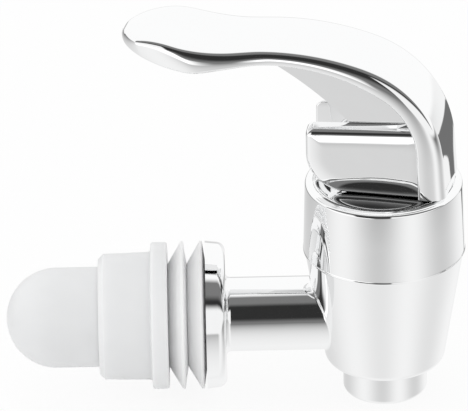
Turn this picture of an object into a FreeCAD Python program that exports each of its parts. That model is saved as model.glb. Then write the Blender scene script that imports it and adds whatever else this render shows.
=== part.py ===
import FreeCAD, Part
import math
import os

import Sketcher

# A push-lever beverage tap, plated, with its soft washers, lock nut and thread cap.
# Millimetres. +Z is up, +X runs from the tank wall out to the front, and the origin is
# the centre of the wall flange's rear face, on the shank's axis. The barrel, the stem
# and the lever share an upright axis, the barrel axis, which crosses the shank's axis.

doc = FreeCAD.newDocument("beverage_tap")
sheet = doc.addObject("Spreadsheet::Sheet", "Sizes")

SIZES = {
    # Shank, neck and wall flange, about the shank's axis
    "barrel_reach": 38.7,        # wall face to the barrel axis
    "neck_radius": 8.05,
    "neck_blend": 1.0,
    "joint_blend": 0.5,
    "flange_radius": 16.05,
    "flange_thick": 4.3,
    "flange_taper": 0.5,
    "flange_round": 1.9,
    "shank_radius": 7.9,         # over the thread
    "shank_length": 31.0,
    "water_radius": 5.5,
    "shank_lead": 1.0,
    # Barrel and spout, about the barrel axis; heights are from the shank's axis
    "spout_radius": 9.1,
    "spout_drop": 18.5,
    "spout_round": 1.0,
    "spout_bore": 6.5,
    "spout_mouth": 0.8,
    "barrel_drop": 10.8,
    "barrel_base": 12.82,        # radius where the side would meet the underside
    "barrel_top": 17.15,
    "barrel_round": 1.7,
    "barrel_rise": 15.7,
    "collar_radius": 15.0,
    "collar_rise": 24.0,
    "collar_lead": 0.6,
    "chamber_base": 10.8,
    "chamber_top": 12.4,
    "chamber_floor": 6.5,        # below the shank's axis
    "seat_radius": 8.0,
    "seat_height": 1.5,
    # Bonnet
    "bonnet_radius": 17.5,
    "bonnet_top": 16.9,
    "bonnet_rise": 32.7,
    "bonnet_brow": 0.45,         # fall of the lip from the dish out to the edge
    "bonnet_shoulder": 0.9,
    "bonnet_hem": 0.3,
    "roof_thick": 2.6,
    "dish_radius": 14.5,
    "dish_depth": 0.7,
    "dish_slope": 0.9,
    "dish_cone": 0.45,           # rise of the dish's floor towards the stem
    "clamp_radius": 13.0,
    # Soft seat cup; heights are from the valve seat
    "rim_thick": 1.6,
    "rim_gap": 0.25,
    "cup_wall": 1.25,
    "cup_radius": 10.4,
    "cup_flare": 0.5,
    "cup_neck": 6.1,
    "plug_radius": 8.3,
    "plug_thick": 2.2,
    "plug_edge": 0.7,
    "plug_floor": 2.5,
    "waist_height": 5.6,
    "neck_height": 9.4,
    "bell_height": 13.0,
    # Stem, its heights from the valve seat, and cross pin, from the bonnet's top
    "foot_radius": 4.2,
    "foot_thick": 2.2,
    "foot_gap": 0.1,
    "stem_neck": 3.0,
    "stem_radius": 4.0,
    "disc_radius": 8.0,
    "disc_height": 13.8,
    "disc_thick": 1.8,
    "pin_height": 5.0,
    "pin_radius": 1.5,
    "pin_length": 13.2,
    "pin_play": 0.05,
    "pin_end_play": 0.2,
    "guide_gap": 0.1,
    # Return spring and the washer that it pushes on
    "wire_radius": 0.6,
    "coil_radius": 5.9,
    "coil_turns": 7.0,
    "seat_play": 0.1,
    "washer_disc": 9.5,
    "washer_disc_thick": 1.0,
    # Soft washers, lock nut and thread cap, about the shank's axis
    "thread_gap": 0.1,
    "seal_radius": 16.0,
    "seal_thick": 4.1,
    "seal_peak": 0.9,            # lip's distance from the face towards the flange
    "seal_lip": 0.5,
    "seal_front": 11.6,
    "seal_back": 11.0,
    "nut_flange": 15.9,
    "nut_flange_thick": 3.6,
    "nut_radius": 13.85,
    "nut_end": 13.6,
    "nut_length": 15.0,
    "nut_chamfer": 1.1,
    "nut_edge": 0.5,
    "nut_blend": 0.6,
    "cap_radius": 10.85,
    "cap_wall": 2.85,
    "cap_straight": 9.2,
    # Lever, along its own length from the barrel axis; heights are from the bonnet's top
    "lever_yaw": 12.5,
    "lever_gap": 0.15,
    "strap_back": 15.1,
    "strap_thick": 6.0,
    "strap_lean": 0.52,
    "strap_height": 8.7,
    "heel_round": 2.0,
    "bend_radius": 24.2,
    "bend_end": -2.4,
    "bend_height": 30.34,
    "crest_radius": 60.6,
    "crest_end": -29.8,
    "crest_height": 32.36,
    "saddle_radius": 41.8,
    "saddle_end": -44.1,
    "saddle_height": 32.6,
    "spoon_radius": 19.9,
    "spoon_tip": -56.5,
    "tip_height": 31.0,
    "tip_thick": 2.9,
    "belly_radius": 35.0,
    "belly_shift": 5.3,          # from the saddle's end back along the arm
    "spoon_thick": 5.3,
    "arm_shift": 3.6,            # from the crest's end back along the arm
    "arm_thick": 3.46,
    "arch_radius": 42.1,
    "arch_shift": 3.05,          # from the bend's end back along the arm
    "arch_thick": 6.64,
    "crook_radius": 16.2,
    "crook_step": 1.1,           # above the strap's straight part
    "crook_lean": 0.3,
    "arm_width": 18.5,
    "spoon_width": 22.2,
    "flare_start": -25.0,
    "flare_radius": 44.25,
    "spoon_full": -43.0,
    "spoon_side": 15.7,
    "nose_start": -52.5,
    "nose_half": 7.9,
    "nose_radius": 9.8,
    "arm_round": 2.1,
    "under_round": 0.7,
    "bowl_start": -33.0,
    "bowl_end": -53.0,
    "bowl_height": 32.5,
    "bowl_radius": 40.0,
    "bowl_across": 26.0,
    "trim_margin": 2.0,
    "cheek_width": 15.6,
    "cheek_front": -15.6,
    "cheek_height": 14.3,
    "cheek_corner": 1.8,
    "cheek_edge": 0.9,
    "cam_radius": 8.5,
    "slot_width": 9.4,
    "notch_height": 5.0,
    "rib_front": -25.0,
    "rib_radius": 75.0,
    "rib_low": -5.2,
    "rib_low_height": 13.8,
    "rib_floor_height": 12.3,
    "rib_heel": -4.4,
    "rib_sink": 1.2,
}


class Size:
    """A number together with the sheet expression that gives it."""

    def __init__(self, value, text):
        self.value = value
        self.text = text

    def join(self, other, mark, value):
        return Size(value, f"({self.text} {mark} {as_size(other).text})")

    def __add__(self, other):
        return self.join(other, "+", self.value + as_size(other).value)

    def __sub__(self, other):
        return self.join(other, "-", self.value - as_size(other).value)

    def __mul__(self, other):
        return self.join(other, "*", self.value * as_size(other).value)

    def __truediv__(self, other):
        return self.join(other, "/", self.value / as_size(other).value)

    def __neg__(self):
        return Size(-self.value, f"(-1 * {self.text})")


def as_size(number):
    """A plain number or a Size, as a Size."""
    if isinstance(number, Size):
        return number
    return Size(float(number), repr(float(number)))


class Named:
    """A holder whose attributes are sizes, or points made of sizes."""


def fill_sheet():
    """Write the driving sizes to the sheet and hand them back by name."""
    named = Named()
    for row, (alias, value) in enumerate(SIZES.items(), start=1):
        sheet.set(f"A{row}", alias)
        sheet.set(f"B{row}", str(value))
        sheet.setAlias(f"B{row}", alias)
        setattr(named, alias, Size(float(value), f"Sizes.{alias}"))
    doc.recompute()
    return named


size = fill_sheet()


def bind(thing, prop, amount):
    """Tie a property of an object to a size."""
    thing.setExpression(prop, as_size(amount).text)


def new_body(name):
    """A body whose label is the sub-part's name."""
    body = doc.addObject("PartDesign::Body", name)
    body.Label = name
    return body


def base_plane(body, role):
    """One of the body's own origin planes or axes."""
    return next(item for item in body.Origin.OriginFeatures if item.Role == role)


def hold_point(sketch, item, end, x, y):
    """Fix one end of a sketch line or arc at the sizes x, y."""
    for kind, amount, axis in (("DistanceX", x, -2), ("DistanceY", y, -1)):
        amount = as_size(amount)
        if amount.value == 0.0:
            sketch.addConstraint(Sketcher.Constraint("PointOnObject", item, end, axis))
            continue
        rule = Sketcher.Constraint(kind, -1, 1, item, end, amount.value)
        index = sketch.addConstraint(rule)
        bind(sketch, f"Constraints[{index}]", amount)


def arc_between(start, end, radius):
    """The short arc from start to end; a positive radius turns it to the left."""
    chord = end - start
    middle = start + chord * 0.5
    reach = math.sqrt(max(radius * radius - chord.Length * chord.Length / 4.0, 0.0))
    side = FreeCAD.Vector(-chord.y, chord.x, 0) / chord.Length
    centre = middle + side * math.copysign(reach, radius)
    first = math.atan2(start.y - centre.y, start.x - centre.x)
    last = math.atan2(end.y - centre.y, end.x - centre.x)
    if radius < 0:
        first, last = last, first
    circle = Part.Circle(centre, FreeCAD.Vector(0, 0, 1), abs(radius))
    return Part.ArcOfCircle(circle, first, last)


def new_sketch(body, name, role):
    """An empty sketch on one of the body's own origin planes."""
    sketch = body.newObject("Sketcher::SketchObject", name)
    sketch.AttachmentSupport = [(base_plane(body, role), "")]
    sketch.MapMode = "FlatFace"
    return sketch


def add_loop(sketch, corners):
    """Draw a closed loop through the corners, each (x, y) bound to the sheet.

    A corner (x, y, radius) is reached from the one before it by an arc.
    """
    places = [FreeCAD.Vector(as_size(c[0]).value, as_size(c[1]).value, 0) for c in corners]
    ends = []
    for index, corner in enumerate(corners):
        start = places[index - 1]
        place = places[index]
        if len(corner) == 2:
            item = sketch.addGeometry(Part.LineSegment(start, place), False)
            ends.append((item, 1, 2))
            continue
        radius = as_size(corner[2])
        item = sketch.addGeometry(arc_between(start, place, radius.value), False)
        ends.append((item, 1, 2) if radius.value > 0 else (item, 2, 1))
        rule = sketch.addConstraint(Sketcher.Constraint("Radius", item, abs(radius.value)))
        bind(sketch, f"Constraints[{rule}]", radius if radius.value > 0 else -radius)
    for index, (item, first, last) in enumerate(ends):
        following, start_of_next, _ = ends[(index + 1) % len(ends)]
        rule = Sketcher.Constraint("Coincident", item, last, following, start_of_next)
        sketch.addConstraint(rule)
    for (item, first, last), corner in zip(ends, corners):
        hold_point(sketch, item, last, corner[0], corner[1])


def outline(body, name, role, corners):
    """A sketch of one closed loop."""
    sketch = new_sketch(body, name, role)
    add_loop(sketch, corners)
    return sketch


def ring(body, name, role, centre, radius):
    """A sketch of one circle, its centre and radius bound to the sheet."""
    sketch = new_sketch(body, name, role)
    spot = FreeCAD.Vector(as_size(centre[0]).value, as_size(centre[1]).value, 0)
    circle = Part.Circle(spot, FreeCAD.Vector(0, 0, 1), as_size(radius).value)
    item = sketch.addGeometry(circle, False)
    hold_point(sketch, item, 3, centre[0], centre[1])
    rule = sketch.addConstraint(Sketcher.Constraint("Radius", item, as_size(radius).value))
    bind(sketch, f"Constraints[{rule}]", radius)
    return sketch


def turn(body, kind, name, sketch, axis):
    """Revolve or groove a sketch a full turn about its own H_Axis or V_Axis."""
    feature = body.newObject(f"PartDesign::{kind}", name)
    feature.Profile = sketch
    feature.ReferenceAxis = (sketch, [axis])
    feature.Angle = 360.0
    doc.recompute()
    return feature


def extrude(body, kind, name, sketch, length):
    """Pad or pocket a sketch evenly to both sides of its plane, length in all."""
    feature = body.newObject(f"PartDesign::{kind}", name)
    feature.Profile = sketch
    feature.Midplane = True
    bind(feature, "Length", length)
    doc.recompute()
    return feature


def soften(body, kind, name, amount, wanted):
    """Fillet or chamfer the edges of the body's shape that the test picks."""
    base = body.Tip
    names = [f"Edge{n}" for n, edge in enumerate(base.Shape.Edges, start=1) if wanted(edge)]
    if not names:
        raise RuntimeError(f"{name}: no edge fits")
    feature = body.newObject(f"PartDesign::{kind}", name)
    feature.Base = (base, names)
    bind(feature, "Radius" if kind == "Fillet" else "Size", amount)
    doc.recompute()
    return feature


def near(first, second, reach=0.02):
    """Whether two numbers agree."""
    return abs(first - second) < reach


def middle(edge):
    """The point halfway along an edge."""
    return edge.valueAt((edge.FirstParameter + edge.LastParameter) / 2)


def circle_at(axis, place, radius):
    """A test for a circular edge about X or Z at the given place along that axis."""
    place = as_size(place).value
    radius = as_size(radius).value

    def wanted(edge):
        curve = edge.Curve
        if curve.TypeId != "Part::GeomCircle" or not near(curve.Radius, radius):
            return False
        if axis == "x":
            return near(abs(curve.Axis.x), 1) and near(curve.Center.x, place)
        return near(abs(curve.Axis.z), 1) and near(curve.Center.z, place)

    return wanted


def to_barrel_axis(body):
    """Stand a body on the barrel axis."""
    bind(body, "Placement.Base.x", size.barrel_reach)


def is_neck_joint(edge):
    """The curve where the neck runs into the barrel's tapered side."""
    return (edge.Curve.TypeId == "Part::GeomBSplineCurve"
            and -size.barrel_top.value < middle(edge).x < -size.spout_radius.value)


def make_valve_body():
    """Barrel, spout, neck, wall flange and threaded shank, moulded in one piece."""
    body = new_body("valve_body")
    to_barrel_axis(body)
    barrel = outline(body, "barrel_profile", "XZ_Plane", [
        (0, -size.spout_drop),
        (size.spout_radius, -size.spout_drop),
        (size.spout_radius, -size.barrel_drop),
        (size.barrel_base, -size.barrel_drop),
        (size.barrel_top, size.barrel_rise),
        (size.collar_radius, size.barrel_rise),
        (size.collar_radius, size.collar_rise),
        (0, size.collar_rise),
    ])
    turn(body, "Revolution", "barrel", barrel, "V_Axis")
    soften(body, "Fillet", "barrel_edge", size.barrel_round,
           circle_at("z", -size.barrel_drop, size.barrel_base))
    soften(body, "Fillet", "spout_edge", size.spout_round,
           circle_at("z", -size.spout_drop, size.spout_radius))
    soften(body, "Chamfer", "collar_edge", size.collar_lead,
           circle_at("z", size.collar_rise, size.collar_radius))
    wall_face = -size.barrel_reach
    flange_face = size.flange_thick - size.barrel_reach
    flange_front = size.flange_radius - size.flange_taper
    shank_end = -(size.barrel_reach + size.shank_length)
    shank = outline(body, "shank_profile", "XZ_Plane", [
        (shank_end, 0),
        (shank_end, size.shank_radius),
        (wall_face, size.shank_radius),
        (wall_face, size.flange_radius),
        (flange_face, flange_front),
        (flange_face, size.neck_radius),
        (0, size.neck_radius),
        (0, 0),
    ])
    turn(body, "Revolution", "shank", shank, "H_Axis")
    soften(body, "Fillet", "neck_joint", size.joint_blend, is_neck_joint)
    soften(body, "Fillet", "flange_edge", size.flange_round,
           circle_at("x", flange_face, flange_front))
    soften(body, "Fillet", "neck_root", size.neck_blend,
           circle_at("x", flange_face, size.neck_radius))
    soften(body, "Chamfer", "shank_tip", size.shank_lead,
           circle_at("x", shank_end, size.shank_radius))
    seat_top = size.seat_height - size.chamber_floor
    chamber = outline(body, "chamber_profile", "XZ_Plane", [
        (0, -(size.spout_drop + size.spout_mouth)),
        (size.spout_bore + size.spout_mouth + size.spout_mouth,
         -(size.spout_drop + size.spout_mouth)),
        (size.spout_bore, size.spout_mouth - size.spout_drop),
        (size.spout_bore, seat_top),
        (size.seat_radius, seat_top),
        (size.seat_radius, -size.chamber_floor),
        (size.chamber_base, -size.chamber_floor),
        (size.chamber_top, size.collar_rise),
        (0, size.collar_rise),
    ])
    turn(body, "Groove", "chamber", chamber, "V_Axis")
    water = outline(body, "water_profile", "XZ_Plane", [
        (shank_end, 0),
        (shank_end, size.water_radius),
        (-size.seat_radius, size.water_radius),
        (-size.seat_radius, 0),
    ])
    turn(body, "Groove", "water_way", water, "H_Axis")
    return body


def make_bonnet():
    """The screwed cap of the barrel: it clamps the cup's rim and guides the stem."""
    body = new_body("bonnet")
    to_barrel_axis(body)
    roof = size.bonnet_rise - size.roof_thick
    rim_top = size.collar_rise + size.rim_thick
    inner = size.collar_radius + size.thread_gap
    dish_floor = size.bonnet_rise - size.dish_depth
    guide = size.stem_radius + size.guide_gap
    profile = outline(body, "bonnet_profile", "XZ_Plane", [
        (inner, size.barrel_rise),
        (size.bonnet_radius, size.barrel_rise),
        (size.bonnet_top, size.bonnet_rise - size.bonnet_brow),
        (size.dish_radius, size.bonnet_rise),
        (size.dish_radius - size.dish_slope, dish_floor),
        (guide, dish_floor + size.dish_cone),
        (guide, roof),
        (size.clamp_radius, roof),
        (size.clamp_radius, rim_top),
        (inner, rim_top),
    ])
    turn(body, "Revolution", "shell", profile, "V_Axis")
    soften(body, "Fillet", "shoulder", size.bonnet_shoulder,
           circle_at("z", size.bonnet_rise - size.bonnet_brow, size.bonnet_top))
    soften(body, "Fillet", "hem", size.bonnet_hem,
           circle_at("z", size.barrel_rise, size.bonnet_radius))
    return body


def make_seat_cup():
    """Soft cup: its plug shuts the spout, and its rim seals the barrel under the bonnet."""
    body = new_body("seat_cup")
    to_barrel_axis(body)
    seat_top = size.seat_height - size.chamber_floor
    rim_top = size.collar_rise + size.rim_thick
    rim = size.collar_radius - size.rim_gap
    mouth = size.cup_radius + size.cup_flare
    plug_top = seat_top + size.plug_thick
    socket = size.foot_radius + size.foot_gap
    socket_floor = seat_top + size.plug_floor
    socket_roof = socket_floor + size.foot_thick + size.foot_gap * 2
    waist = seat_top + size.waist_height
    neck_top = seat_top + size.neck_height
    bell = seat_top + size.bell_height
    profile = outline(body, "cup_profile", "XZ_Plane", [
        (0, seat_top),
        (size.plug_radius - size.plug_edge, seat_top),
        (size.plug_radius, seat_top + size.plug_edge, size.plug_edge),
        (size.plug_radius, plug_top),
        (size.cup_neck, waist),
        (size.cup_neck, neck_top),
        (size.cup_radius, bell),
        (mouth, size.collar_rise),
        (rim, size.collar_rise),
        (rim, rim_top),
        (mouth - size.cup_wall, rim_top),
        (size.cup_radius - size.cup_wall, bell),
        (size.stem_neck + size.foot_gap, neck_top),
        (size.stem_neck + size.foot_gap, socket_roof),
        (socket, socket_roof),
        (socket, socket_floor),
        (0, socket_floor),
    ])
    turn(body, "Revolution", "cup", profile, "V_Axis")
    return body


def make_stem():
    """Stem: a foot held in the cup, a disc under the spring, and a head with the pin hole."""
    body = new_body("stem")
    to_barrel_axis(body)
    seat_top = size.seat_height - size.chamber_floor
    foot = seat_top + size.plug_floor + size.foot_gap
    foot_top = foot + size.foot_thick
    disc = seat_top + size.disc_height
    disc_top = disc + size.disc_thick
    pin_rise = size.bonnet_rise + size.pin_height
    profile = outline(body, "stem_profile", "XZ_Plane", [
        (0, foot),
        (size.foot_radius, foot),
        (size.foot_radius, foot_top),
        (size.stem_neck, foot_top),
        (size.stem_neck, disc),
        (size.disc_radius, disc),
        (size.disc_radius, disc_top),
        (size.stem_radius, disc_top),
        (size.stem_radius, pin_rise),
        (0, pin_rise + size.stem_radius, size.stem_radius),
    ])
    turn(body, "Revolution", "shaft", profile, "V_Axis")
    hole = ring(body, "pin_hole_circle", "XZ_Plane", (0, pin_rise), size.pin_radius)
    extrude(body, "Pocket", "pin_hole", hole, size.stem_radius * 2 + size.trim_margin)
    bind(body, "Placement.Rotation.Angle", -size.lever_yaw)
    return body


def make_cross_pin():
    """Steel pin through the stem's head, its ends in the lever's blind sockets."""
    body = new_body("cross_pin")
    to_barrel_axis(body)
    pin_rise = size.bonnet_rise + size.pin_height
    circle = ring(body, "pin_circle", "XZ_Plane", (0, pin_rise), size.pin_radius)
    extrude(body, "Pad", "pin", circle, size.pin_length)
    bind(body, "Placement.Rotation.Angle", -size.lever_yaw)
    return body


def make_spring():
    """Coil spring from the stem's disc up to the washer under the bonnet's roof."""
    body = new_body("spring")
    to_barrel_axis(body)
    disc_top = size.seat_height - size.chamber_floor + size.disc_height + size.disc_thick
    low = disc_top + size.wire_radius + size.seat_play
    washer_floor = size.bonnet_rise - size.roof_thick - size.washer_disc_thick - size.seat_play
    high = washer_floor - size.wire_radius - size.seat_play
    wire = ring(body, "wire_circle", "XZ_Plane", (size.coil_radius, low), size.wire_radius)
    doc.recompute()
    coil = body.newObject("PartDesign::AdditiveHelix", "coil")
    coil.Profile = wire
    coil.ReferenceAxis = (wire, ["V_Axis"])
    coil.Mode = "height-turns-angle"
    bind(coil, "Height", high - low)
    bind(coil, "Turns", size.coil_turns)
    doc.recompute()
    return body


def make_spring_washer():
    """Flat washer between the spring and the bonnet's roof."""
    body = new_body("spring_washer")
    to_barrel_axis(body)
    roof = size.bonnet_rise - size.roof_thick - size.seat_play
    floor = roof - size.washer_disc_thick
    profile = outline(body, "disc_profile", "XZ_Plane", [
        (size.stem_radius + size.guide_gap, floor),
        (size.washer_disc, floor),
        (size.washer_disc, roof),
        (size.stem_radius + size.guide_gap, roof),
    ])
    turn(body, "Revolution", "disc", profile, "V_Axis")
    return body


def make_seal_washer(name, front):
    """Soft washer with a dished rear, its lip leaning to the flange; front is its face."""
    body = new_body(name)
    bore = size.shank_radius + size.thread_gap
    back = front - size.seal_thick
    peak = front - size.seal_peak
    profile = outline(body, f"{name}_profile", "XZ_Plane", [
        (back, bore),
        (front, bore),
        (front, size.seal_front),
        (peak + size.seal_lip / 2, size.seal_radius),
        (peak - size.seal_lip / 2, size.seal_radius),
        (back, size.seal_back),
    ])
    turn(body, "Revolution", f"{name}_ring", profile, "H_Axis")
    return body


def make_lock_nut():
    """Round nut with a wide flange, on the shank behind the soft washers."""
    body = new_body("lock_nut")
    bore = size.shank_radius + size.thread_gap
    front = -(size.seal_thick * 2)
    step = front - size.nut_flange_thick
    back = front - size.nut_length
    profile = outline(body, "nut_profile", "XZ_Plane", [
        (back, bore),
        (front, bore),
        (front, size.nut_flange),
        (step, size.nut_flange),
        (step, size.nut_radius),
        (back, size.nut_end),
    ])
    turn(body, "Revolution", "nut", profile, "H_Axis")
    soften(body, "Chamfer", "nut_corner", size.nut_chamfer,
           circle_at("x", back, size.nut_end))
    soften(body, "Fillet", "flange_corners", size.nut_edge,
           lambda edge: circle_at("x", front, size.nut_flange)(edge)
           or circle_at("x", step, size.nut_flange)(edge))
    soften(body, "Fillet", "flange_root", size.nut_blend,
           circle_at("x", step, size.nut_radius))
    return body


def make_shank_cap():
    """Round-nosed cap, pushed over the end of the thread."""
    body = new_body("shank_cap")
    mouth = -(size.seal_thick * 2 + size.nut_length)
    centre = mouth - size.cap_straight
    inner = size.cap_radius - size.cap_wall
    profile = outline(body, "cap_profile", "XZ_Plane", [
        (mouth, inner),
        (mouth, size.cap_radius),
        (centre, size.cap_radius),
        (centre - size.cap_radius, 0, size.cap_radius),
        (centre - inner, 0),
        (centre, inner, -inner),
    ])
    turn(body, "Revolution", "cap", profile, "H_Axis")
    return body


def lever_points():
    """Heights and places on the lever's side outline that its features share."""
    at = Named()
    at.top = size.bonnet_rise
    at.foot = at.top + size.lever_gap
    at.strap_front = size.strap_back - size.strap_thick
    at.strap_end = (size.strap_back - size.strap_lean, at.top + size.strap_height)
    at.bend = (size.bend_end, at.top + size.bend_height)
    at.crest = (size.crest_end, at.top + size.crest_height)
    at.saddle = (size.saddle_end, at.top + size.saddle_height)
    at.tip = (size.spoon_tip, at.top + size.tip_height)
    at.belly = (size.saddle_end + size.belly_shift, at.saddle[1] - size.spoon_thick)
    at.under = (size.crest_end + size.arm_shift, at.crest[1] - size.arm_thick)
    at.arch = (size.bend_end + size.arch_shift, at.bend[1] - size.arch_thick)
    at.crook = (at.strap_front - size.crook_lean, at.strap_end[1] + size.crook_step)
    at.cheek_top = at.top + size.cheek_height
    return at


def make_lever():
    """Lever: a strap that bends over into a long arm with a spoon end, on two cheeks."""
    body = new_body("lever")
    to_barrel_axis(body)
    bind(body, "Placement.Rotation.Angle", -size.lever_yaw)
    at = lever_points()
    add_arm(body, at)
    round_arm(body, at)
    add_bowl(body, at)
    add_cheeks(body, at)
    add_rib(body, at)
    sockets = ring(body, "socket_circle", "XZ_Plane", (0, at.top + size.pin_height),
                   size.pin_radius + size.pin_play)
    extrude(body, "Pocket", "sockets", sockets, size.pin_length + size.pin_end_play * 2)
    return body


def add_arm(body, at):
    """The strap and arm as one bent bar, trimmed at its sides to its plan."""
    arm = outline(body, "arm_profile", "XZ_Plane", [
        (at.strap_front, at.foot),
        (size.strap_back, at.foot),
        at.strap_end,
        (*at.bend, size.bend_radius),
        (*at.crest, size.crest_radius),
        (*at.saddle, -size.saddle_radius),
        (*at.tip, size.spoon_radius),
        (at.tip[0], at.tip[1] - size.tip_thick),
        (*at.belly, size.belly_radius),
        at.under,
        (*at.arch, -size.arch_radius),
        (*at.crook, -size.crook_radius),
    ])
    extrude(body, "Pad", "arm", arm, size.spoon_width)
    half_arm = size.arm_width / 2
    half_spoon = size.spoon_width / 2
    half_flare = (half_arm + half_spoon) / 2
    flare_middle = (size.flare_start + size.spoon_full) / 2
    back = size.strap_back + size.trim_margin
    plan = new_sketch(body, "plan", "XY_Plane")
    add_loop(plan, [
        (back, -half_arm),
        (back, half_arm),
        (size.flare_start, half_arm),
        (flare_middle, half_flare, -size.flare_radius),
        (size.spoon_full, half_spoon, size.flare_radius),
        (size.nose_start, size.nose_half, size.spoon_side),
        (size.nose_start, -size.nose_half, size.nose_radius),
        (size.spoon_full, -half_spoon, size.spoon_side),
        (flare_middle, -half_flare, size.flare_radius),
        (size.flare_start, -half_arm, -size.flare_radius),
    ])
    far = half_spoon + size.trim_margin
    add_loop(plan, [
        (back + size.trim_margin, -far),
        (back + size.trim_margin, far),
        (size.spoon_tip - size.trim_margin, far),
        (size.spoon_tip - size.trim_margin, -far),
    ])
    extrude(body, "Pocket", "plan_trim", plan, (at.bend[1] + size.bend_radius) * 2)


def round_arm(body, at):
    """Round the arm's long edges, the outer skin's more than the underside's, and its heel."""
    skin_split = (at.crest[1].value + at.under[1].value) / 2
    strap_split = (at.strap_front.value + size.strap_back.value) / 2

    def runs_along(edge):
        if edge.Curve.TypeId != "Part::GeomLine":
            return True
        way = edge.Curve.Direction
        return not near(abs(way.y), 1) and not near(abs(way.z), 1, 1e-6)

    def on_skin(edge):
        spot = middle(edge)
        behind = spot.x > at.strap_front.value and spot.z > at.cheek_top.value
        return runs_along(edge) and (spot.z > skin_split or spot.x > strap_split or behind)

    def underneath(edge):
        spot = middle(edge)
        return (runs_along(edge) and at.cheek_top.value < spot.z < skin_split
                and spot.x < at.strap_front.value)

    soften(body, "Fillet", "skin_edges", size.arm_round, on_skin)
    soften(body, "Fillet", "under_edges", size.under_round, underneath)
    low = at.foot - size.trim_margin
    back = size.strap_back + size.trim_margin
    heel = outline(body, "heel_profile", "XZ_Plane", [
        (size.strap_back - size.heel_round, low),
        (back, low),
        (back, at.foot + size.heel_round),
        (size.strap_back, at.foot + size.heel_round),
        (size.strap_back - size.heel_round, at.foot, -size.heel_round),
    ])
    extrude(body, "Pocket", "heel", heel, size.spoon_width)


def add_bowl(body, at):
    """The shallow bowl for the thumb in the top of the spoon."""
    axis_rise = at.saddle[1] + size.bowl_across
    rim = at.top + size.bowl_height
    bowl = outline(body, "bowl_profile", "XZ_Plane", [
        (size.bowl_start, axis_rise),
        (size.bowl_end, axis_rise),
        (size.bowl_end, rim),
        (size.bowl_start, rim, size.bowl_radius),
    ])
    turn(body, "Groove", "bowl", bowl, "Edge2")


def make_cheeks(at):
    """The two cheeks as one rounded block, before the slot parts them."""
    block = new_body("cheek_block")
    heel = size.strap_back - size.strap_lean - size.cheek_corner
    side = outline(block, "cheek_profile", "XZ_Plane", [
        (size.cheek_front + size.cam_radius, at.foot, size.cam_radius),
        (heel, at.foot),
        (heel, at.cheek_top),
        (size.cheek_front + size.cheek_corner, at.cheek_top),
        (size.cheek_front, at.cheek_top - size.cheek_corner, size.cheek_corner),
        (size.cheek_front, at.foot + size.cam_radius),
    ])
    extrude(block, "Pad", "cheek_pad", side, size.cheek_width)

    def on_rim(edge):
        across = edge.Curve.TypeId == "Part::GeomLine" and near(abs(edge.Curve.Direction.y), 1)
        return not across and middle(edge).x < heel.value - size.cheek_corner.value / 2

    soften(block, "Fillet", "cheek_rim", size.cheek_edge, on_rim)
    return block


def add_cheeks(body, at):
    """Join the cheeks to the strap and cut the open slot between them."""
    join = body.newObject("PartDesign::Boolean", "cheeks")
    join.Type = "Fuse"
    join.setObjects([make_cheeks(at)])
    doc.recompute()
    low = at.foot - size.trim_margin
    high = at.cheek_top + size.trim_margin
    front = size.cheek_front - size.trim_margin
    back = size.strap_back + size.trim_margin
    notch = at.foot + size.notch_height
    slot = outline(body, "slot_profile", "XZ_Plane", [
        (front, low),
        (back, low),
        (back, notch),
        (at.strap_front, notch),
        at.crook,
        (at.crook[0], high),
        (front, high),
    ])
    extrude(body, "Pocket", "slot", slot, size.slot_width)


def add_rib(body, at):
    """The web that fills the bend between the cheeks and runs out under the arm."""
    floor = at.top + size.rib_floor_height
    inside = at.strap_front + size.rib_sink
    rib = outline(body, "rib_profile", "XZ_Plane", [
        (size.rib_front, at.under[1]),
        (size.rib_low, at.top + size.rib_low_height, -size.rib_radius),
        (size.rib_heel, floor),
        (inside, floor),
        (inside, at.cheek_top + size.rib_sink * 2),
        (at.arch[0] + size.rib_sink * 2, at.arch[1] + size.rib_sink),
        ((at.under[0] + at.arch[0]) / 2, at.under[1] + size.rib_sink / 2),
        (size.rib_front, at.under[1] + size.rib_sink),
    ])
    extrude(body, "Pad", "rib", rib, size.slot_width)


def check(bodies):
    """Stop if any object failed or any sub-part's shape is empty or broken."""
    doc.recompute()
    for item in doc.Objects:
        if "Invalid" in item.State or "Error" in item.State:
            raise RuntimeError(f"{item.Name} failed: {item.State}")
    for body in bodies:
        if body.Shape.isNull() or not body.Shape.isValid() or not body.Shape.Solids:
            raise RuntimeError(f"{body.Label} has no valid solid")


def write_parts(bodies):
    """One STEP file for each sub-part, named by its label."""
    os.makedirs("parts", exist_ok=True)
    for body in bodies:
        body.Shape.exportStep(f"parts/{body.Label}.step")
        box = body.Shape.BoundBox
        print(f"{body.Label:20s} {body.Shape.Volume:9.1f} mm3  "
              f"x {box.XMin:.2f} {box.XMax:.2f}  y {box.YMin:.2f} {box.YMax:.2f}  "
              f"z {box.ZMin:.2f} {box.ZMax:.2f}")


parts = [
    make_valve_body(),
    make_bonnet(),
    make_seat_cup(),
    make_stem(),
    make_cross_pin(),
    make_spring(),
    make_spring_washer(),
    make_lever(),
    make_seal_washer("front_seal_washer", as_size(0)),
    make_seal_washer("rear_seal_washer", -size.seal_thick),
    make_lock_nut(),
    make_shank_cap(),
]
check(parts)
write_parts(parts)
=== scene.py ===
import math

import bmesh
import bpy
from mathutils import Matrix, Vector

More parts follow.
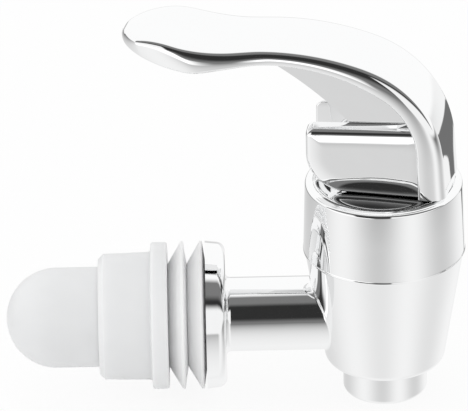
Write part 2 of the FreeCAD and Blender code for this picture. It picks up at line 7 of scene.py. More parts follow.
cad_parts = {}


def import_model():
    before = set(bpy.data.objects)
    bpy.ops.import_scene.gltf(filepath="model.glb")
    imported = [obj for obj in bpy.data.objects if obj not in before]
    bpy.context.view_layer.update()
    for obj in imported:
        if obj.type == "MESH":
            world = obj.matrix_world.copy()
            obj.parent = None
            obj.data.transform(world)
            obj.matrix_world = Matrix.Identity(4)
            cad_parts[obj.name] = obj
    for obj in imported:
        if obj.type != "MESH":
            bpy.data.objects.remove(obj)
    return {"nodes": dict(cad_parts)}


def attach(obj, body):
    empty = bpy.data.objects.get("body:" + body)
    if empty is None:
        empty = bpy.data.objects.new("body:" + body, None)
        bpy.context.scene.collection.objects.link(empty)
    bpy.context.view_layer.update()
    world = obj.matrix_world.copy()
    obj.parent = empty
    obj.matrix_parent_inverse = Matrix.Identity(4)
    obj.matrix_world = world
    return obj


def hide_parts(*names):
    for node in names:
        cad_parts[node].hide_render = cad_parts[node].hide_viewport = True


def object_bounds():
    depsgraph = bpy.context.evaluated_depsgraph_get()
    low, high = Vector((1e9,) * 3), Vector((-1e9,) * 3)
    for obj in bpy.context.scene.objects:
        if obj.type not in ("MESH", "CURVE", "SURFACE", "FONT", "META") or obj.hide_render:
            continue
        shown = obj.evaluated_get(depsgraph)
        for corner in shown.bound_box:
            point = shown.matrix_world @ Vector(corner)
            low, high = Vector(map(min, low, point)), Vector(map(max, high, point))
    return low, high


# A plated beverage tap in a light tent: pale floor, white surroundings, a dark room in front.
# Metres, in the CAD frame: +X out of the wall along the shank, +Z up, photographed from -Y.

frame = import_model()
cad_low, cad_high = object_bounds()
NODES = frame["nodes"]

BARREL_X = 0.0387

# Where the photograph was taken from
VIEW_RISE = math.radians(28.0)
VIEW_ROLL = math.radians(-1.2)
VIEW_WIDTH = 0.1005
VIEW_CENTRE = Vector((0.00653, 0.0, 0.02663))
LENS = 450.0
SENSOR = 36.0
CLIP_NEAR = 0.01
CLIP_FAR = 20.0


# Node helpers


def new_material(name):
    """An empty material with its node tree and output."""
    material = bpy.data.materials.new(name)
    material.use_nodes = True
    material.node_tree.nodes.clear()
    output = material.node_tree.nodes.new("ShaderNodeOutputMaterial")
    return material, material.node_tree, output


def add_node(tree, kind, **settings):
    """A node with the given properties set."""
    node = tree.nodes.new(kind)
    for name, value in settings.items():
        setattr(node, name, value)
    return node


def feed(tree, slot, value):
    """Give an input a number, or link a socket to it."""
    if isinstance(value, (int, float)):
        slot.default_value = value
    else:
        tree.links.new(value, slot)


def math_node(tree, operation, *inputs):
    """A Math node's output, its inputs numbers or sockets."""
    node = add_node(tree, "ShaderNodeMath", operation=operation)
    for slot, value in zip(node.inputs, inputs):
        feed(tree, slot, value)
    return node.outputs[0]


def blend_value(tree, share, low, high):
    """A value that goes from low to high with the share."""
    mix = add_node(tree, "ShaderNodeMix", data_type="FLOAT")
    for slot, value in (("Factor", share), ("A", low), ("B", high)):
        feed(tree, mix.inputs[slot], value)
    return mix.outputs["Result"]


def ramp(tree, value, low, high, start=0.0, end=1.0):
    """A smooth step from start to end as the value goes from low to high."""
    node = add_node(tree, "ShaderNodeMapRange", interpolation_type="SMOOTHSTEP")
    tree.links.new(value, node.inputs["Value"])
    node.inputs["From Min"].default_value = low
    node.inputs["From Max"].default_value = high
    node.inputs["To Min"].default_value = start
    node.inputs["To Max"].default_value = end
    return node.outputs["Result"]


def noise(tree, scale, detail, roughness=0.5):
    """Noise over the object's own place, in cells per metre."""
    place = add_node(tree, "ShaderNodeTexCoord")
    node = add_node(tree, "ShaderNodeTexNoise")
    tree.links.new(place.outputs["Object"], node.inputs["Vector"])
    node.inputs["Scale"].default_value = scale
    node.inputs["Detail"].default_value = detail
    node.inputs["Roughness"].default_value = roughness
    return node.outputs["Fac"]


# Materials

PLATE_COLOUR = (0.945, 0.948, 0.95, 1.0)
PLATE_SMOOTHEST = 0.02
PLATE_ROUGHEST = 0.055
SMEAR_SCALE = 90.0
WAVE_SCALE = 160.0
WAVE_STRENGTH = 0.05
WAVE_HEIGHT = 0.0004
PLASTIC_INDEX = 1.46
CLOUD_SCALE = 240.0
CLOUD_SHADE = 0.97
GRAIN_SCALE = 700.0
GRAIN_SMOOTHER = 0.02
GRAIN_ROUGHER = 0.03


def chrome():
    """Bright chrome plate on moulded plastic: faint waviness and a breath of wiping marks."""
    material, tree, output = new_material("chrome_plate")
    shader = add_node(tree, "ShaderNodeBsdfPrincipled")
    shader.inputs["Base Color"].default_value = PLATE_COLOUR
    shader.inputs["Metallic"].default_value = 1.0
    smear = noise(tree, SMEAR_SCALE, detail=3.0, roughness=0.6)
    polish = ramp(tree, smear, low=0.35, high=0.75, start=PLATE_SMOOTHEST, end=PLATE_ROUGHEST)
    tree.links.new(polish, shader.inputs["Roughness"])
    bump = add_node(tree, "ShaderNodeBump")
    bump.inputs["Strength"].default_value = WAVE_STRENGTH
    bump.inputs["Distance"].default_value = WAVE_HEIGHT
    tree.links.new(noise(tree, WAVE_SCALE, detail=1.0), bump.inputs["Height"])
    tree.links.new(bump.outputs["Normal"], shader.inputs["Normal"])
    tree.links.new(shader.outputs["BSDF"], output.inputs["Surface"])
    return material


def milky(name, tint, roughness, depth):
    """Translucent white moulding: light goes some way in, and the skin is satin."""
    material, tree, output = new_material(name)
    shader = add_node(tree, "ShaderNodeBsdfPrincipled")
    shader.inputs["IOR"].default_value = PLASTIC_INDEX
    shader.inputs["Subsurface Weight"].default_value = 1.0
    shader.inputs["Subsurface Radius"].default_value = (1.0, 1.0, 1.0)
    shader.inputs["Subsurface Scale"].default_value = depth
    colour = add_node(tree, "ShaderNodeMix", data_type="RGBA")
    colour.inputs["A"].default_value = (*tint, 1.0)
    colour.inputs["B"].default_value = (*(part * CLOUD_SHADE for part in tint), 1.0)
    tree.links.new(noise(tree, CLOUD_SCALE, detail=3.0), colour.inputs["Factor"])
    tree.links.new(colour.outputs["Result"], shader.inputs["Base Color"])
    grain = noise(tree, GRAIN_SCALE, detail=1.0)
    satin = ramp(tree, grain, low=0.3, high=0.7,
                 start=roughness - GRAIN_SMOOTHER, end=roughness + GRAIN_ROUGHER)
    tree.links.new(satin, shader.inputs["Roughness"])
    tree.links.new(shader.outputs["BSDF"], output.inputs["Surface"])
    return material


def dress(nodes, material):
    """Give CAD nodes their finish."""
    for node in nodes:
        mesh = NODES[node].data
        mesh.materials.clear()
        mesh.materials.append(material)


CHROME = chrome()
CAP_PLASTIC = milky("cap_plastic", tint=(0.84, 0.845, 0.85), roughness=0.36, depth=0.0005)
NUT_PLASTIC = milky("nut_plastic", tint=(0.85, 0.855, 0.86), roughness=0.36, depth=0.003)
SILICONE = milky("clear_silicone", tint=(0.965, 0.97, 0.975), roughness=0.42, depth=0.0015)
dress(("valve_body", "bonnet", "lever", "cross_pin", "spring", "spring_washer"), CHROME)
dress(("shank_cap",), CAP_PLASTIC)
dress(("lock_nut", "stem"), NUT_PLASTIC)
dress(("front_seal_washer", "rear_seal_washer", "seat_cup"), SILICONE)


# Curves and meshes

MERGE_GAP = 2e-7
SHARP_ANGLE = math.radians(30.0)


def arc_points(start, end, radius, count, crowd=False):
    """Points after start along a line or short arc to end; a positive radius turns left.

    With crowd they come closer together towards the end.
    """
    shares = [k / count for k in range(1, count + 1)]
    if crowd:
        shares = [math.sin(math.pi / 2 * share) for share in shares]
    chord = end - start
    if radius == 0:
        return [start + chord * share for share in shares]
    side = Vector((-chord.y, chord.x)).normalized()
    reach = math.sqrt(radius * radius - chord.length_squared / 4)
    centre = (start + end) / 2 + side * math.copysign(reach, radius)
    sweep = 2 * math.asin(chord.length / 2 / radius)
    arm = start - centre
    return [centre + Matrix.Rotation(sweep * share, 2) @ arm for share in shares]


def run_of(corners, counts, crowd_last=False):
    """A polyline through corners (u, z) or (u, z, radius of the arc that leads there)."""
    points = [Vector(corners[0][:2])]
    for index, (corner, count) in enumerate(zip(corners[1:], counts)):
        radius = corner[2] if len(corner) > 2 else 0
        crowd = crowd_last and index == len(counts) - 1
        points += arc_points(points[-1], Vector(corner[:2]), radius, count, crowd)
    return points


def eased(points, rounds):
    """The polyline with its kinks rounded off, its ends held."""
    for _ in range(rounds):
        inner = [(points[k - 1] + points[k] * 2 + points[k + 1]) / 4
                 for k in range(1, len(points) - 1)]
        points = [points[0], *inner, points[-1]]
    return points


def smooth_step(value, low, high):
    """0 at low, 1 at high, with no kink."""
    share = min(1.0, max(0.0, (value - low) / (high - low)))
    return share * share * (3 - 2 * share)


def round_drop(radius, inset):
    """How far a rounded edge lies below the full face, at a distance in from its side."""
    if inset >= radius:
        return 0.0
    return radius - math.sqrt(radius ** 2 - (radius - inset) ** 2)


def tube_faces(rows, size):
    """The faces of a tube: rows of points, each row a closed loop."""
    faces = []
    for row in range(rows - 1):
        for k in range(size):
            here = row * size + k
            beside = row * size + (k + 1) % size
            faces.append((here, beside, beside + size, here + size))
    return faces


def mesh_piece(name, points, faces, material, body):
    """A smooth-shaded mesh object that rides on a body."""
    mesh = bpy.data.meshes.new(name)
    mesh.from_pydata([tuple(p) for p in points], [], faces)
    mesh.materials.append(material)
    work = bmesh.new()
    work.from_mesh(mesh)
    bmesh.ops.remove_doubles(work, verts=work.verts, dist=MERGE_GAP)
    bmesh.ops.dissolve_degenerate(work, edges=work.edges, dist=MERGE_GAP)
    bmesh.ops.recalc_face_normals(work, faces=work.faces)
    work.to_mesh(mesh)
    work.free()
    mesh.shade_smooth()
    mesh.set_sharp_from_angle(angle=SHARP_ANGLE)
    piece = bpy.data.objects.new(name, mesh)
    bpy.context.scene.collection.objects.link(piece)
    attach(piece, body)
    return piece


# Lever: its side view from foot to tip, outer skin and underside, as in the solids

LEVER_YAW = math.radians(-12.5)
FOOT_Z = 0.03285
SPOON_TIP = -0.0565
SKIN = [
    (0.0151, FOOT_Z),
    (0.01458, 0.0414),
    (-0.0024, 0.06304, 0.0242),
    (-0.0298, 0.06506, 0.0606),
    (-0.0441, 0.0657, -0.0418),
    (SPOON_TIP, 0.0641, 0.0199),
]
UNDERSIDE = [
    (0.0091, FOOT_Z),
    (0.0088, 0.0425),
    (0.00065, 0.0564, 0.0162),
    (-0.0262, 0.0616, 0.0421),
    (-0.0388, 0.0589),
    (SPOON_TIP, 0.0623, -0.0567),
]
RUN_COUNTS = (10, 34, 34, 20, 44)
EASE_ROUNDS = 8

# The lever's width along the arm, the flare, the spoon and its round nose
ARM_HALF = 0.00925
SPOON_HALF = 0.0104
FLARE_START = -0.025
SPOON_FULL = -0.043
SPOON_SIDE = 0.0180
NOSE_START = -0.0525
NOSE_HALF = 0.0077
NOSE_RADIUS = 0.0094

# Across the arm. Each rounded edge takes at most a share of the half width and of the depth
EDGE_ROUND = 0.0027
EDGE_SHARES = (0.6, 0.76)
UNDER_ROUND = 0.0007
UNDER_SHARES = (0.35, 0.22)
SPOON_ROUND_CHANGE = 0.0004
SPOON_CHANGE_START = -0.026
SPOON_CHANGE_END = -0.042
NOSE_ROUND = 0.0012
NOSE_EASE = 0.005
CROWN = 0.0003
BOWL_DEPTH = 0.0010
BOWL_START = -0.033
BOWL_LENGTH = 0.020
SIDE_LEAN = math.radians(14.0)
SIDE_WIDEST = 0.7
ACROSS_STEPS = 14
ROUND_STEPS = 14
SIDE_STEPS = 12


def lever_place(u, z, v):
    """A point of the lever's own side plane and width, in the CAD frame."""
    cos_yaw = math.cos(LEVER_YAW)
    sin_yaw = math.sin(LEVER_YAW)
    return Vector((BARREL_X + u * cos_yaw - v * sin_yaw, u * sin_yaw + v * cos_yaw, z))


def half_width(u):
    """Half of the arm's width at a place along it: strap, flare, spoon and round nose."""
    if u > SPOON_FULL:
        flare = smooth_step(-u, -FLARE_START, -SPOON_FULL)
        return ARM_HALF + (SPOON_HALF - ARM_HALF) * flare
    if u > NOSE_START:
        share = (SPOON_FULL - u) / (SPOON_FULL - NOSE_START)
        chord = SPOON_HALF + (NOSE_HALF - SPOON_HALF) * share
        length = SPOON_FULL - NOSE_START
        bulge = length * length * share * (1 - share) / (2 * SPOON_SIDE)
        return chord + bulge
    reach = NOSE_RADIUS ** 2 - (u - SPOON_TIP - NOSE_RADIUS) ** 2
    return math.sqrt(max(reach, 0.0))


def arm_section(outer, inner):
    """Right half of a section across the arm, as (v, depth) from the skin's middle down.

    The skin is crowned and has a bowl in the spoon, the long edges are rounded, and the
    sides bow out below them.
    """
    depth = (inner - outer).length
    half = half_width(outer.x)
    to_tip = max(0.0, outer.x - SPOON_TIP)
    whole = smooth_step(to_tip, 0.0, NOSE_EASE)
    change = SPOON_ROUND_CHANGE * smooth_step(-outer.x, -SPOON_CHANGE_START, -SPOON_CHANGE_END)
    edge = min(EDGE_ROUND - change, half * EDGE_SHARES[0], depth * EDGE_SHARES[1])
    under = min(UNDER_ROUND + change, half * UNDER_SHARES[0], depth * UNDER_SHARES[1])
    crown = CROWN * whole
    along_bowl = min(1.0, max(0.0, (BOWL_START - outer.x) / BOWL_LENGTH))
    bowl = BOWL_DEPTH * math.sin(math.pi * along_bowl) ** 2

    # The skin from its middle out to the rounded edge
    flat = half - edge
    line = []
    for k in range(ACROSS_STEPS + 1):
        part = k / ACROSS_STEPS
        line.append((flat * part, crown * part ** 2 + bowl * (1 - part ** 2) ** 2))
    lean = SIDE_LEAN * whole
    for k in range(1, ROUND_STEPS + 1):
        turn = (math.pi / 2 - lean) * k / ROUND_STEPS
        line.append((flat + edge * math.sin(turn), crown + edge * (1 - math.cos(turn))))

    # The side, which goes on outwards and then comes back in a little
    side, top = line[-1]
    bottom = depth - under
    run = max(bottom - top, 0.0)
    for k in range(1, SIDE_STEPS):
        part = k / SIDE_STEPS
        bulge = math.tan(lean) * run * (part - part ** 2 / (2 * SIDE_WIDEST))
        line.append((side + bulge, top + run * part))
    low_half = side + math.tan(lean) * run * (1 - 1 / (2 * SIDE_WIDEST))

    # The lower edge and the underside back to the middle
    for k in range(ROUND_STEPS + 1):
        turn = math.pi / 2 * k / ROUND_STEPS
        line.append((low_half - under * (1 - math.cos(turn)), bottom + under * math.sin(turn)))
    flat_under = low_half - under
    for k in range(1, ACROSS_STEPS + 1):
        line.append((flat_under * (1 - k / ACROSS_STEPS), depth))

    lost = round_drop(NOSE_ROUND, to_tip)
    squeeze = (depth - 2 * lost) / depth
    return [(v, lost + q * squeeze) for v, q in line]


def lever_arm():
    """The bent arm with its spoon: a tube of sections, closed at the foot and the nose."""
    skin = eased(run_of(SKIN, RUN_COUNTS, True), EASE_ROUNDS)
    under = eased(run_of(UNDERSIDE, RUN_COUNTS, True), EASE_ROUNDS)
    points = []
    for outer, inner in zip(skin, under):
        down = (inner - outer).normalized()
        half_line = arm_section(outer, inner)
        loop = half_line + [(-v, q) for v, q in reversed(half_line[1:-1])]
        points += [lever_place(outer.x + down.x * q, outer.y + down.y * q, v) for v, q in loop]
    size = len(points) // len(skin)
    faces = tube_faces(len(skin), size)
    last = (len(skin) - 1) * size
    faces.append(tuple(range(size)))
    faces.append(tuple(range(last, last + size)))
    return mesh_piece("lever_arm", points, faces, CHROME, "handle")


# Cheeks: plates in the lever's own side plane, on both sides of the web

CHEEK_FOOT = 0.03205
CHEEK_TOP = 0.0466
CHEEK_REAR = -0.0156
CHEEK_FRONT = 0.0115
CHEEK_FRONT_RISE = 0.0016
CHEEK_CORNER = 0.0018
CHEEK_CAM = 0.0085
CHEEK_COUNTS = (10, 26, 8, 12, 20, 22)
CHEEK_OUTER = 0.0078
CHEEK_INNER = 0.0047
CHEEK_OUTER_ROUND = 0.0009
CHEEK_INNER_ROUND = 0.0004
CHEEK_CROWN = 0.0006
CHEEK_CROWN_REACH = 0.0040
CHEEK_CENTRE = Vector((0.0, 0.0396))
CHEEK_INNER_RINGS = 6
CHEEK_OUTER_RINGS = 26
RING_CROWDING = 1.6

# The top slopes up by this much to the inner face, and the slope fades out below
TOP_RISE = 0.0009
TOP_SLOPE_END = 0.0010
TOP_SLOPE_START = 0.0060


def cheek_outline():
    """The cheek in side view, its two rear corners rounded: the lower one is the cam."""
    return [
        (CHEEK_FRONT, CHEEK_FOOT),
        (CHEEK_FRONT, CHEEK_TOP + CHEEK_FRONT_RISE),
        (CHEEK_REAR + CHEEK_CORNER, CHEEK_TOP),
        (CHEEK_REAR, CHEEK_TOP - CHEEK_CORNER, CHEEK_CORNER),
        (CHEEK_REAR, CHEEK_FOOT + CHEEK_CAM),
        (CHEEK_REAR + CHEEK_CAM, CHEEK_FOOT, CHEEK_CAM),
        (CHEEK_FRONT, CHEEK_FOOT),
    ]


def depth_inside(spot, loop):
    """How far a point lies inside a closed outline."""
    nearest = math.inf
    for k, here in enumerate(loop):
        along = loop[(k + 1) % len(loop)] - here
        share = max(0.0, min(1.0, (spot - here).dot(along) / along.length_squared))
        nearest = min(nearest, (spot - here - along * share).length)
    return nearest


def cheek_place(spot, across, side):
    """A point of the cheek in the CAD frame, with the slope of the top."""
    share = smooth_step(spot.y, CHEEK_TOP - TOP_SLOPE_START, CHEEK_TOP - TOP_SLOPE_END)
    full = CHEEK_OUTER - CHEEK_OUTER_ROUND
    inward = max(0.0, (full - across) / (full - CHEEK_INNER))
    return lever_place(spot.x, spot.y + TOP_RISE * share * inward, side * across)


def cheek(name, side):
    """One cheek: a plate whose outer face is crowned towards a rounded rim.

    Its top slopes up from the outer face to the inner one.
    """
    loop = run_of(cheek_outline(), CHEEK_COUNTS)[:-1]
    points = []
    for ring in range(CHEEK_INNER_RINGS):
        turn = math.pi / 2 * ring / CHEEK_INNER_RINGS
        inset = CHEEK_INNER_ROUND * (1 - math.sin(turn))
        across = CHEEK_INNER + CHEEK_INNER_ROUND * (1 - math.cos(turn))
        for k, place in enumerate(loop):
            along = (loop[(k + 1) % len(loop)] - loop[k - 1]).normalized()
            spot = place + Vector((-along.y, along.x)) * inset
            points.append(cheek_place(spot, across, side))
    for ring in range(CHEEK_OUTER_RINGS + 1):
        part = (ring / CHEEK_OUTER_RINGS) ** RING_CROWDING
        for place in loop:
            spot = place + (CHEEK_CENTRE - place) * part
            inside = depth_inside(spot, loop)
            drop = round_drop(CHEEK_OUTER_ROUND, inside)
            crown = CHEEK_CROWN * (1 - min(1.0, inside / CHEEK_CROWN_REACH)) ** 2
            points.append(cheek_place(spot, CHEEK_OUTER - drop - crown, side))
    size = len(loop)
    faces = tube_faces(len(points) // size, size)
    faces.append(tuple(range(size)))
    return mesh_piece(name, points, faces, CHROME, "handle")


# Web: its front edge as a run with an arc, its back edge inside the strap and the arm

WEB_FRONT = [(-0.025, 0.0616), (-0.0052, 0.0465, -0.075), (-0.0044, 0.0450)]
WEB_FRONT_COUNTS = (24, 3)
WEB_BACK = [
    (0.0103, 0.0450),
    (0.0103, 0.0494),
    (0.0030, 0.0576),
    (-0.0128, 0.0621),
    (-0.0250, 0.0627),
]


def rib():
    """The web in the bend, between the cheeks and out under the arm."""
    loop = run_of(WEB_FRONT, WEB_FRONT_COUNTS) + [Vector(p) for p in WEB_BACK]
    points = [lever_place(p.x, p.y, v) for v in (-CHEEK_INNER, CHEEK_INNER) for p in loop]
    size = len(loop)
    faces = tube_faces(2, size)
    faces.append(tuple(range(size)))
    faces.append(tuple(range(size, 2 * size)))
    return mesh_piece("lever_rib", points, faces, CHROME, "handle")


arm_piece = lever_arm()
near_cheek = cheek("lever_cheek_near", -1)
far_cheek = cheek("lever_cheek_far", 1)
rib_piece = rib()
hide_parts("lever")


# Bonnet: its half section as (radius, z), with the arcs of the bead, the lip and the bowl

BONNET_FOOT = 0.0157
SOCKET_RADIUS = 0.0151
SOCKET_TOP = 0.0256
BORE_RADIUS = 0.0130
ROOF_UNDERSIDE = 0.0301
STEM_HOLE = 0.0041
BONNET = [
    (SOCKET_RADIUS, BONNET_FOOT),
    (0.0172, BONNET_FOOT),
    (0.01749, 0.0160, 0.0003),
    (0.01749, 0.01612),
    (0.01741, 0.01630),
    (0.017404, 0.0165),
    (0.01693, 0.0315),
    (0.01632, 0.03222, 0.0008),
    (0.0155, 0.03258, 0.0040),
    (0.0151, 0.03250, 0.0006),
    (0.0147, 0.0322),
    (0.0124, 0.03175, -0.0060),
    (STEM_HOLE, 0.0319),
    (STEM_HOLE, ROOF_UNDERSIDE),
    (BORE_RADIUS, ROOF_UNDERSIDE),
    (BORE_RADIUS, SOCKET_TOP),
    (SOCKET_RADIUS, SOCKET_TOP),
    (SOCKET_RADIUS, BONNET_FOOT),
]
BONNET_COUNTS = (1, 5, 1, 3, 1, 2, 10, 8, 6, 3, 24, 1, 1, 1, 1, 1, 1)
BONNET_AROUND = 192


def bonnet_shell():
    """The bonnet turned about the barrel's axis: foot bead, tapered side, lip and bowl."""
    profile = run_of(BONNET, BONNET_COUNTS)[:-1]
    size = len(profile)
    points = []
    faces = []
    for column in range(BONNET_AROUND):
        turn = 2 * math.pi * column / BONNET_AROUND
        points += [Vector((BARREL_X + p.x * math.cos(turn), p.x * math.sin(turn), p.y))
                   for p in profile]
        here = column * size
        beside = (column + 1) % BONNET_AROUND * size
        for k in range(size):
            k_next = (k + 1) % size
            faces.append((here + k, beside + k, beside + k_next, here + k_next))
    return mesh_piece("bonnet_shell", points, faces, CHROME, "tap_body")


bonnet_piece = bonnet_shell()
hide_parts("bonnet")


# Floor

FLOOR_SIZE = 8.0
FLOOR_GAP = 0.0001
FLOOR_COLOUR = (0.95, 0.95, 0.95, 1.0)
FLOOR_WHITE_SHARE = 0.9


def plane(name, centre, normal, width, height, material):
    """A flat rectangle facing along its normal."""
    mesh = bpy.data.meshes.new(name)
    signs = ((-1, -1), (1, -1), (1, 1), (-1, 1))
    corners = [(right * width / 2, up * height / 2, 0) for right, up in signs]
    mesh.from_pydata(corners, [], [(0, 1, 2, 3)])
    mesh.materials.append(material)
    piece = bpy.data.objects.new(name, mesh)
    bpy.context.scene.collection.objects.link(piece)
    turn = Vector(normal).to_track_quat("Z", "Y").to_matrix().to_4x4()
    piece.matrix_world = Matrix.Translation(Vector(centre)) @ turn
    return piece


def floor_material():
    """Pale floor: white to the camera, but still darkened a little where the object shades it.

    From below it is clear.
    """
    material, tree, output = new_material("floor")
    paint = add_node(tree, "ShaderNodeBsdfDiffuse")
    paint.inputs["Color"].default_value = FLOOR_COLOUR
    glow = add_node(tree, "ShaderNodeEmission")
    glow.inputs["Color"].default_value = (1.0, 1.0, 1.0, 1.0)
    glow.inputs["Strength"].default_value = 1.0
    path = add_node(tree, "ShaderNodeLightPath")
    seen = math_node(tree, "MAXIMUM", path.outputs["Is Camera Ray"], path.outputs["Is Glossy Ray"])
    seen = math_node(tree, "MAXIMUM", seen, path.outputs["Is Transmission Ray"])
    share = math_node(tree, "MULTIPLY", seen, FLOOR_WHITE_SHARE)
    mix = add_node(tree, "ShaderNodeMixShader")
    tree.links.new(share, mix.inputs["Fac"])
    tree.links.new(paint.outputs["BSDF"], mix.inputs[1])
    tree.links.new(glow.outputs["Emission"], mix.inputs[2])
    below = add_node(tree, "ShaderNodeNewGeometry")
    clear = add_node(tree, "ShaderNodeBsdfTransparent")
    side = add_node(tree, "ShaderNodeMixShader")
    tree.links.new(below.outputs["Backfacing"], side.inputs["Fac"])
    tree.links.new(mix.outputs["Shader"], side.inputs[1])
    tree.links.new(clear.outputs["BSDF"], side.inputs[2])
    tree.links.new(side.outputs["Shader"], output.inputs["Surface"])
    return material


floor_z = cad_low[2] - FLOOR_GAP
floor = plane("floor", (0, 0, floor_z), (0, 0, 1), FLOOR_SIZE, FLOOR_SIZE, floor_material())
floor.visible_glossy = False


# Studio, as bright metal shows it. Brightness 1 is white, and angles are in degrees:
# turned goes round from the camera's side towards the right, height up from the horizon,
# over from the front horizon up and over the top, and sideways from the middle to the right

SKY = 0.85

# The table has lobes of light round it, uneven, so that they come closer together in front
LOBES = 3.0
LOBE_TURN = 122.7
LOBE_SWAY = 45.2
LOBE_SWAY_TURN = 26.9
TABLE_FALL = 22.0
TABLE_TOP = 0.94
TABLE_LEAST = 0.18

# Steps, as the angles where each starts and ends, and the values there
ROOM_FOOT = (-4.0, 14.0, 0.22, 0.03)
ROOM_CEILING = (48.0, 62.0, 0.0, 0.17)
SHEET_EDGE = (76.0, 90.0, 0.0, 1.02)
RIGHT_WALL = (6.0, 10.0, 0.0, 1.0)
LEFT_WALL = (-44.0, -38.0, 1.0, 0.0)
WALL_TOP = (34.0, 46.0, 1.0, 0.0)
HORIZON = (-5.0, 0.0, 0.0, 1.0)
WALL_WHITE = 0.95

# Soft-edged bands, as the angles where each starts and is full, and where it fades and ends
PANEL_ROUND = (-95.0, -82.0, -22.0, -12.0)
PANEL_UP = (-19.0, -14.0, -5.0, -1.0)
PANEL_WHITE = 1.25
CARD_ROUND = (132.0, 135.0, 157.0, 160.0)
CARD_DARK = 0.17

# The card's slanted edges, as the rise for each degree round, a direction on the line, and
# how wide the soft edge is
CARD_TOP = (-0.1, (142.0, -13.5), 1.0)
CARD_FOOT = (-0.3, (151.6, -26.6), 0.4)


def step(tree, value, low, high, start=0.0, end=1.0):
    """A ramp between two angles in degrees."""
    return ramp(tree, value, math.radians(low), math.radians(high), start, end)


def band(tree, value, edges):
    """1 between two soft edges."""
    low, low_full, high_full, high = edges
    rise = step(tree, value, low, low_full)
    drop = step(tree, value, high_full, high, 1.0, 0.0)
    return math_node(tree, "MULTIPLY", rise, drop)


def beside_line(tree, turned, height, line, side):
    """1 on one side of a slanted line of directions: above it with side 1, below with -1."""
    slope, (turned_there, height_there), soft = line
    base = math.radians(height_there - slope * turned_there)
    edge = math_node(tree, "MULTIPLY_ADD", turned, slope, base)
    gap = math_node(tree, "MULTIPLY", math_node(tree, "SUBTRACT", height, edge), side)
    return step(tree, gap, 0.0, soft)


def table_light(tree, turned, height):
    """The table, which brightens downwards and has lighter and darker lobes round the object."""
    sway = math_node(tree, "SINE", math_node(tree, "SUBTRACT", turned, math.radians(LOBE_SWAY_TURN)))
    phase = math_node(tree, "MULTIPLY_ADD", turned, LOBES, -math.radians(LOBE_TURN))
    phase = math_node(tree, "MULTIPLY_ADD", sway, math.radians(LOBE_SWAY), phase)
    lobe = math_node(tree, "MULTIPLY_ADD", math_node(tree, "COSINE", phase), 0.5, 0.5)
    fall = math_node(tree, "EXPONENT", math_node(tree, "DIVIDE", height, math.radians(TABLE_FALL)))
    lack = math_node(tree, "MULTIPLY", fall, math_node(tree, "SUBTRACT", 1.0, lobe))
    table = math_node(tree, "SUBTRACT", TABLE_TOP, lack)
    return math_node(tree, "MAXIMUM", table, TABLE_LEAST)


def room_light(tree, over, sideways):
    """The dark room in front, with low white walls on both sides and a white sheet overhead."""
    room = step(tree, over, *ROOM_FOOT)
    room = math_node(tree, "ADD", room, step(tree, over, *ROOM_CEILING))
    room = math_node(tree, "MAXIMUM", room, step(tree, over, *SHEET_EDGE))
    walls = math_node(tree, "MAXIMUM", step(tree, sideways, *RIGHT_WALL),
                      step(tree, sideways, *LEFT_WALL))
    walls = math_node(tree, "MULTIPLY", walls, step(tree, over, *WALL_TOP))
    return blend_value(tree, walls, room, WALL_WHITE)


def surroundings(tree):
    """How bright the studio is in each direction, as bright metal shows it.

    Behind and overhead is a white sweep. In front is the dark of the room, and below that
    the table. A white panel is low on the left of the camera, and a dark card behind on the
    right.
    """
    place = add_node(tree, "ShaderNodeTexCoord")
    parts = add_node(tree, "ShaderNodeSeparateXYZ")
    tree.links.new(place.outputs["Generated"], parts.inputs["Vector"])
    front = math_node(tree, "MULTIPLY", parts.outputs["Y"], -1.0)
    lift = math_node(tree, "MAXIMUM", parts.outputs["Z"], 0.0)
    turned = math_node(tree, "ARCTAN2", parts.outputs["X"], front)
    height = math_node(tree, "ARCSINE", parts.outputs["Z"])
    over = math_node(tree, "ARCTAN2", lift, front)
    sideways = math_node(tree, "ARCSINE", parts.outputs["X"])

    table = table_light(tree, turned, height)
    room = room_light(tree, over, sideways)
    around = blend_value(tree, step(tree, height, *HORIZON), table, room)

    panel = math_node(tree, "MULTIPLY", band(tree, turned, PANEL_ROUND), band(tree, height, PANEL_UP))
    around = blend_value(tree, panel, around, PANEL_WHITE)

    card = band(tree, turned, CARD_ROUND)
    for line, side in ((CARD_TOP, -1), (CARD_FOOT, 1)):
        card = math_node(tree, "MULTIPLY", card, beside_line(tree, turned, height, line, side))
    return blend_value(tree, card, around, CARD_DARK)


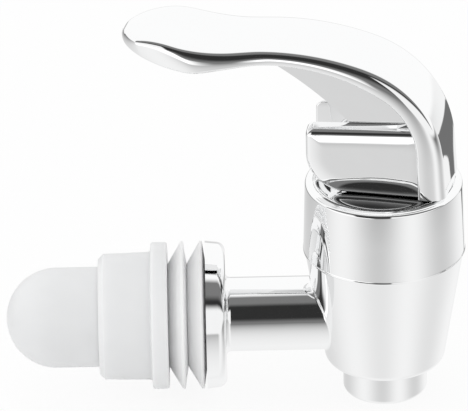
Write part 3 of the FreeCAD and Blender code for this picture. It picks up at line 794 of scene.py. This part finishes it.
def world():
    """White surroundings to the camera, and the studio to bright metal.

    Dull surfaces get an even light from all round.
    """
    scene_world = bpy.data.worlds.new("studio")
    bpy.context.scene.world = scene_world
    scene_world.use_nodes = True
    tree = scene_world.node_tree
    tree.nodes.clear()
    output = add_node(tree, "ShaderNodeOutputWorld")
    path = add_node(tree, "ShaderNodeLightPath")
    lit = blend_value(tree, path.outputs["Is Glossy Ray"], SKY, surroundings(tree))
    seen = blend_value(tree, path.outputs["Is Camera Ray"], lit, 1.0)
    back = add_node(tree, "ShaderNodeBackground")
    back.inputs["Color"].default_value = (1.0, 1.0, 1.0, 1.0)
    tree.links.new(seen, back.inputs["Strength"])
    tree.links.new(back.outputs["Background"], output.inputs["Surface"])


world()


# Lamps and camera


def softbox(name, place, target, width, height, power):
    """An area lamp that faces a target and isn't seen itself."""
    lamp = bpy.data.lights.new(name, "AREA")
    lamp.shape = "RECTANGLE"
    lamp.size = width
    lamp.size_y = height
    lamp.energy = power
    piece = bpy.data.objects.new(name, lamp)
    bpy.context.scene.collection.objects.link(piece)
    piece.location = place
    piece.rotation_mode = "QUATERNION"
    piece.rotation_quaternion = (Vector(place) - Vector(target)).to_track_quat("Z", "Y")
    piece.visible_camera = False
    piece.visible_glossy = False
    return piece


softbox("key", place=(-0.225, -0.115, 0.125), target=(-0.037, 0.0, 0.0),
        width=0.22, height=0.07, power=0.08)
softbox("top", place=(0.05, 0.1, 0.9), target=(0.0, 0.0, 0.0),
        width=0.9, height=0.6, power=1.0)


def photo_camera():
    """A long lens from the photograph's side, raised and rolled as it was."""
    data = bpy.data.cameras.new("photo_camera")
    data.lens = LENS
    data.sensor_width = SENSOR
    data.clip_start = CLIP_NEAR
    data.clip_end = CLIP_FAR
    camera = bpy.data.objects.new("photo_camera", data)
    bpy.context.scene.collection.objects.link(camera)
    back = Vector((0.0, -math.cos(VIEW_RISE), math.sin(VIEW_RISE)))
    camera.location = VIEW_CENTRE + back * (LENS * VIEW_WIDTH / SENSOR)
    camera.rotation_mode = "QUATERNION"
    turn = (-back).to_track_quat("-Z", "Y").to_matrix() @ Matrix.Rotation(VIEW_ROLL, 3, "Z")
    camera.rotation_quaternion = turn.to_quaternion()
    bpy.context.scene.camera = camera


photo_camera()
bpy.context.scene.view_settings.view_transform = "Standard"
